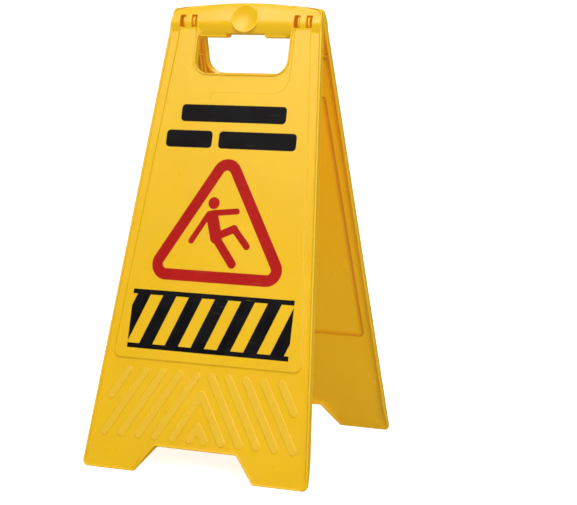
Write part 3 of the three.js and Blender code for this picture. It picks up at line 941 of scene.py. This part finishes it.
def math_node(tree, operation, a, b=0.0):
    return node(tree, "Math", {0: a, 1: b}, operation=operation)


def mixed(tree, share, a, b, blend="MIX"):
    inputs = {0: share, 6: a, 7: b}
    return node(tree, "Mix", inputs, 2, data_type="RGBA", blend_type=blend)


def stretched(tree, place, scale, turn=0.0):
    inputs = {"Vector": place, "Rotation": (0, 0, turn), "Scale": scale}
    return node(tree, "Mapping", inputs)


def bumped(tree, layers):
    """Bump layers stacked from (height, strength, distance in metres)."""
    normal = None
    for height, strength, distance in layers:
        inputs = {"Height": height, "Strength": strength, "Distance": distance}
        if normal is not None:
            inputs["Normal"] = normal
        normal = node(tree, "Bump", inputs)
    return normal


def scratches(tree, place):
    """Fine scuffs in two directions, only in patches."""
    fine = []
    for turn, seed in ((0.5, 0.0), (-0.9, 3.7)):
        line = stretched(tree, place, (14, 420, 60), turn)
        shifted = node(tree, "VectorMath", {0: line, 1: (seed, seed, seed)}, operation="ADD")
        fine.append(ramp(tree, noise(tree, shifted, 1.0, 2.0, 0.6), 0.66, 0.74))
    both = math_node(tree, "MAXIMUM", fine[0], fine[1])
    patches = ramp(tree, noise(tree, place, 11.0, 3.0), 0.48, 0.68)
    return math_node(tree, "MULTIPLY", both, patches)


# Glow of the hollow side, for the daylight that the thin walls let through
THROUGH_WALLS = 0.12


def yellow_plastic():
    """Moulded polypropylene: satin grain, light coming through thin walls, wear along the edges."""
    material, tree = new_material("yellow_plastic")
    place = node(tree, "TexCoord", output="Object")
    curved = measure(tree, "bend")
    hollow = measure(tree, "hollow")
    worn = ramp(tree, curved, -0.05, -0.3)
    sunk = ramp(tree, curved, 0.04, 0.3)
    patchy = noise(tree, place, 60.0, 4.0, 0.6)

    # Slow drift of the pigment, with fine specks
    tone = noise(tree, place, 7.0, 3.0)
    color = mixed(tree, ramp(tree, tone, 0.3, 0.7), (0.79, 0.475, 0.003, 1), (0.82, 0.50, 0.005, 1))
    speck = ramp(tree, noise(tree, place, 900.0, 2.0), 0.3, 0.7)
    color = mixed(tree, math_node(tree, "MULTIPLY", speck, 0.06), color, (0.92, 0.58, 0.03, 1))

    # Chalky edges, painted shade in hollow corners, painted shade on the slope round the pocket,
    # paler bars
    chalk = math_node(tree, "MULTIPLY", worn, ramp(tree, patchy, 0.38, 0.62, 0.1, 0.4))
    color = mixed(tree, chalk, color, (0.9, 0.6, 0.07, 1))
    # Painted shade: hollow corners darkened towards a deeper orange
    corner_shade = math_node(tree, "MULTIPLY", sunk, ramp(tree, patchy, 0.35, 0.65, 0.06, 0.16))
    color = mixed(tree, corner_shade, color, (0.60, 0.25, 0.005, 1))
    # Painted shade on the slope round the pocket, strongest at its edge and fading inwards
    shade = measure(tree, "shade")
    color = mixed(tree, math_node(tree, "MULTIPLY", shade, 0.8), color, (0.50, 0.14, 0.004, 1))
    tread = measure(tree, "tread")
    color = mixed(tree, math_node(tree, "MULTIPLY", tread, 0.5), color, (0.80, 0.50, 0.045, 1))
    scuffs = scratches(tree, place)
    color = mixed(tree, math_node(tree, "MULTIPLY", scuffs, 0.12), color, (0.92, 0.62, 0.1, 1))

    # Satin gloss, duller where scuffed or worn, over slight waves and a fine grain
    gloss = ramp(tree, noise(tree, place, 25.0, 5.0, 0.65), 0.3, 0.7, 0.27, 0.36)
    gloss = math_node(tree, "ADD", gloss, math_node(tree, "MULTIPLY", scuffs, 0.05))
    gloss = math_node(tree, "ADD", gloss, math_node(tree, "MULTIPLY", chalk, 0.15))
    normal = bumped(tree, [
        (noise(tree, place, 9.0, 1.0), 0.25, 0.0012),
        (noise(tree, place, 1500.0, 2.0), 0.10, 0.00012),
        (scuffs, 0.06, 0.00003),
    ])

    # Light through the walls: redder near the top, where the boards stand close together
    height = node(tree, "SeparateXYZ", {"Vector": place}, 1)
    high_up = ramp(tree, height, -0.40, -0.10)
    through = mixed(tree, high_up, (1.0, 0.62, 0.05, 1), (1.0, 0.34, 0.03, 1))
    # The painted shade round the pocket also turns the glow redder
    through = mixed(tree, shade, through, (1.0, 0.12, 0.0, 1))
    shader = node(tree, "BsdfPrincipled", {
        "Base Color": color, "Roughness": gloss, "Normal": normal, "IOR": 1.48,
        "Subsurface Weight": 0.35, "Subsurface Radius": (1.0, 0.5, 0.1), "Subsurface Scale": 0.002,
        "Emission Color": through,
        "Emission Strength": math_node(tree, "MULTIPLY", hollow, THROUGH_WALLS),
    })
    finished(tree, shader)
    return material


def ink(name, base, faded):
    """Screen-printed ink: a faint mesh in the surface, uneven gloss, tiny thin spots."""
    material, tree = new_material(name)
    place = node(tree, "TexCoord", output="Object")
    patchy = noise(tree, place, 30.0, 4.0, 0.6)
    color = mixed(tree, ramp(tree, patchy, 0.35, 0.7), base, faded)
    thin = ramp(tree, noise(tree, place, 700.0, 2.0), 0.74, 0.80)
    thin = math_node(tree, "MULTIPLY", thin, ramp(tree, noise(tree, place, 14.0, 3.0), 0.5, 0.7))
    color = mixed(tree, math_node(tree, "MULTIPLY", thin, 0.8), color, (0.8, 0.5, 0.05, 1))
    scuffs = scratches(tree, place)
    color = mixed(tree, math_node(tree, "MULTIPLY", scuffs, 0.25), color, (0.5, 0.35, 0.15, 1))
    gloss = ramp(tree, patchy, 0.3, 0.7, 0.36, 0.5)
    gloss = math_node(tree, "ADD", gloss, math_node(tree, "MULTIPLY", scuffs, 0.2))
    wave = {"Vector": place, "Scale": 550.0, "Distortion": 0.4}
    threads = [node(tree, "TexWave", wave, 1, bands_direction=way) for way in ("X", "Y")]
    weave = math_node(tree, "MULTIPLY", threads[0], threads[1])
    normal = bumped(tree, [(noise(tree, place, 9.0, 1.0), 0.25, 0.0012), (weave, 0.15, 0.00003)])
    shader = node(tree, "BsdfPrincipled", {
        "Base Color": color, "Roughness": gloss, "Normal": normal, "IOR": 1.2,
    })
    finished(tree, shader)
    return material


def pin_plastic():
    """Natural acetal rod, faintly translucent, with drawn lines along it."""
    material, tree = new_material("pin_plastic")
    place = node(tree, "TexCoord", output="Object")
    tone = noise(tree, place, 90.0, 3.0)
    color = mixed(tree, tone, (0.62, 0.63, 0.64, 1), (0.78, 0.79, 0.80, 1))
    lines = noise(tree, stretched(tree, place, (20, 900, 900)), 1.0, 2.0)
    gloss = ramp(tree, lines, 0.3, 0.7, 0.25, 0.4)
    normal = bumped(tree, [(lines, 0.2, 0.00005)])
    shader = node(tree, "BsdfPrincipled", {
        "Base Color": color, "Roughness": gloss, "Normal": normal,
        "Subsurface Weight": 0.3, "Subsurface Radius": (1, 1, 1), "Subsurface Scale": 0.001,
    })
    finished(tree, shader)
    return material


# ------------------------------------------------------------------ the sign

FRONT_LEG = Matrix.Translation((0, 0, HINGE_Z)) @ Matrix.Rotation(math.pi / 2 - LEAN, 4, "X")
REAR_LEG = Matrix.Rotation(math.pi, 4, "Z") @ FRONT_LEG
YELLOW = yellow_plastic()
INKS = {
    "black_ink": ink("black_ink", (0.004, 0.003, 0.004, 1), (0.008, 0.007, 0.008, 1)),
    "red_ink": ink("red_ink", (0.385, 0.007, 0.005, 1), (0.435, 0.010, 0.007, 1)),
}
ACETAL = pin_plastic()


def fit(piece, body, slot, material, *nodes):
    """Puts a finished piece on its body, with its material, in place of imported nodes."""
    piece.data.materials.append(material)
    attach(piece, body)
    if nodes:
        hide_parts(*nodes)


def marks(side, leg):
    """The prints on one board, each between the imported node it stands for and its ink."""
    made = [
        (f"word_bar_{place}", word_bar(f"{side}_print_word_bar_{place}", *ends, leg), "black_ink")
        for place, ends in WORD_BARS.items()
    ]
    return made + [
        ("warning_triangle", warning_triangle(f"{side}_print_triangle", leg), "red_ink"),
        ("figure_head", figure_head(f"{side}_print_head", leg), "red_ink"),
        ("figure_body", figure_body(f"{side}_print_body", leg), "red_ink"),
        ("hazard_band", hazard_band(f"{side}_print_hazard_band", leg), "black_ink"),
    ]


for side, leg in (("front", FRONT_LEG), ("rear", REAR_LEG)):
    shell = board(f"{side}_shell", side == "front", leg)
    fit(shell, side, "yellow_plastic", YELLOW, f"{side}_board")
    for packed, piece, slot in marks(side, leg):
        fit(piece, side, slot, INKS[slot], f"{side}_{packed}")

for end, centre in (("left", -HOOK_CENTRE), ("right", HOOK_CENTRE)):
    name = f"front_hook_{end}"
    hook = lug(name, centre, HOOK_WIDTH, HOOK_RADIUS, HOOK_RADIUS, HOOK_MOUTH, FRONT_LEG)
    fit(hook, "front", "yellow_plastic", YELLOW)
    for number, offset in enumerate((-CHEEK_OFFSET, CHEEK_OFFSET), 1):
        name = f"rear_cheek_{end}_{number}"
        cheek = lug(name, centre + offset, CHEEK_WIDTH, CHEEK_RADIUS, CHEEK_WEB, 0, REAR_LEG)
        fit(cheek, "rear", "yellow_plastic", YELLOW)
    fit(pin(f"pin_{end}", centre, REAR_LEG), "rear", "pin_plastic", ACETAL, f"hinge_pin_{end}")


# ------------------------------------------------------------------ floor, light and camera

# Floor from its front edge to where it starts to rise, then the rise and the backdrop, in metres
STAGE_FRONT = -4.0
STAGE_BACK = 2.6
STAGE_BEND = 1.2
STAGE_BEND_STEPS = 24
STAGE_TOP = 5.0
STAGE_HALF_WIDTH = 6.0
STAGE_GLOW = 0.7


def pale_stage():
    """A floor that curves up into a backdrop far behind the sign, nearly white to the camera."""
    profile = [(STAGE_FRONT, 0.0)]
    for step in range(STAGE_BEND_STEPS + 1):
        angle = math.pi / 2 * (step / STAGE_BEND_STEPS - 1)
        along, up = STAGE_BEND * math.cos(angle), STAGE_BEND * (1 + math.sin(angle))
        profile.append((STAGE_BACK + along, up))
    profile.append((STAGE_BACK + STAGE_BEND, STAGE_TOP))
    points = [(x, y, z) for x in (-STAGE_HALF_WIDTH, STAGE_HALF_WIDTH) for y, z in profile]
    count = len(profile)
    faces = [(i, i + count, i + count + 1, i + 1) for i in range(count - 1)]
    mesh = bpy.data.meshes.new("stage")
    mesh.from_pydata(points, [], faces)
    mesh.polygons.foreach_set("use_smooth", [True] * len(faces))
    material, tree = new_material("pale_paper")
    place = node(tree, "TexCoord", output="Object")
    tone = mixed(tree, noise(tree, place, 3.0), (0.78, 0.78, 0.78, 1), (0.82, 0.82, 0.82, 1))
    paper = node(tree, "BsdfDiffuse", {"Color": tone, "Roughness": 0.9})
    glow = node(tree, "Emission", {"Color": (1, 1, 1, 1), "Strength": STAGE_GLOW})
    seen = node(tree, "AddShader", {0: paper, 1: glow})
    in_gloss = node(tree, "LightPath", output="Is Glossy Ray")
    around = node(tree, "BsdfDiffuse", {"Color": ramp(tree, in_gloss, 0.0, 1.0, 0.6, 0.12)})
    by_camera = node(tree, "LightPath", output="Is Camera Ray")
    finished(tree, node(tree, "MixShader", {0: by_camera, 1: around, 2: seen}))
    mesh.materials.append(material)
    stage = bpy.data.objects.new("stage", mesh)
    bpy.context.scene.collection.objects.link(stage)


LIGHT_AIM = Vector((0, 0, 0.35))


def softbox(name, azimuth, elevation, distance, size, radiance):
    """An area light that faces the sign from a direction in degrees, zero azimuth in front."""
    turn, rise = math.radians(azimuth), math.radians(elevation)
    flat = math.cos(rise)
    back = Vector((math.sin(turn) * flat, -math.cos(turn) * flat, math.sin(rise)))
    light = bpy.data.lights.new(name, "AREA")
    light.shape = "RECTANGLE"
    light.size, light.size_y = size
    light.energy = radiance * math.pi * size[0] * size[1]
    lamp = bpy.data.objects.new(name, light)
    lamp.location = LIGHT_AIM + distance * back
    lamp.rotation_euler = back.to_track_quat("Z", "Y").to_euler()
    bpy.context.scene.collection.objects.link(lamp)


def studio():
    """Four softboxes round the sign, in a dim room that shows little in the gloss."""
    world = bpy.data.worlds.new("studio")
    world.use_nodes = True
    tree = world.node_tree
    mirrored_ray = node(tree, "LightPath", output="Is Glossy Ray")
    strength = ramp(tree, mirrored_ray, 0.0, 1.0, 0.4, 0.04)
    seen = math_node(tree, "MAXIMUM", strength, node(tree, "LightPath", output="Is Camera Ray"))
    tree.links.new(seen, tree.nodes["Background"].inputs["Strength"])
    tree.nodes["Background"].inputs["Color"].default_value = (1, 1, 1, 1)
    bpy.context.scene.world = world
    softbox("front", -20, 47, 3.4, (1.5, 2.1), 4.8)
    softbox("overhead", 0, 82, 2.2, (1.4, 1.0), 1.5)
    softbox("behind", 170, 55, 2.4, (1.6, 1.0), 3.5)
    softbox("side", 42, 28, 2.6, (1.2, 1.9), 4.4)
    bpy.context.scene.view_settings.view_transform = "Standard"


CAMERA_TARGET = Vector((0.05915, 0, 0.2608))
CAMERA_DISTANCE = 1.9763
CAMERA_AZIMUTH = math.radians(20.84)
CAMERA_ELEVATION = math.radians(7.65)
CAMERA_ROLL = math.radians(0.85)
CAMERA_LENS = 96.46


def camera():
    lens = bpy.data.cameras.new("camera")
    lens.lens = CAMERA_LENS
    lens.sensor_width = 36
    view = bpy.data.objects.new("camera", lens)
    flat = math.cos(CAMERA_ELEVATION)
    back = Vector((
        math.sin(CAMERA_AZIMUTH) * flat,
        -math.cos(CAMERA_AZIMUTH) * flat,
        math.sin(CAMERA_ELEVATION),
    ))
    view.location = CAMERA_TARGET + CAMERA_DISTANCE * back
    level = back.to_track_quat("Z", "Y").to_matrix().to_4x4()
    view.rotation_euler = (level @ Matrix.Rotation(CAMERA_ROLL, 4, "Z")).to_euler()
    bpy.context.scene.collection.objects.link(view)
    bpy.context.scene.camera = view


pale_stage()
studio()
camera()
